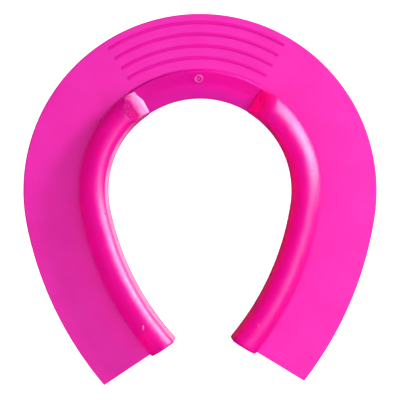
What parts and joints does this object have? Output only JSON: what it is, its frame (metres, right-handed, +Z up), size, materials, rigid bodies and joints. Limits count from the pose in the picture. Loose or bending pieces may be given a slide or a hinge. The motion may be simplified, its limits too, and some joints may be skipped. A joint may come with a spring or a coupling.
{
  "type": "hoof rim pad",
  "caption": "Horseshoe-shaped flexible rim pad with hollow snow tubes along its inner edge and raised ribs at the toe, worn between shoe and hoof.",
  "frame": {"origin": "centre of the pad's outline, on the flat underside that lies on the hoof", "axes": "+Z up out of the flat web towards the snow tubes, +Y towards the toe, +X to the right seen from above"},
  "size_m": [0.15, 0.1567, 0.0156],
  "materials": {
    "moulded_polyurethane": "satin moulded, slightly translucent pink"
  },
  "bodies": {
    "root": {"rim_plate": "moulded_polyurethane", "left_snow_tube": "moulded_polyurethane", "right_snow_tube": "moulded_polyurethane", "toe_ridge": "moulded_polyurethane", "toe_rib_1": "moulded_polyurethane", "toe_rib_2": "moulded_polyurethane", "toe_rib_3": "moulded_polyurethane", "toe_rib_4": "moulded_polyurethane"}
  },
  "joints": []
}
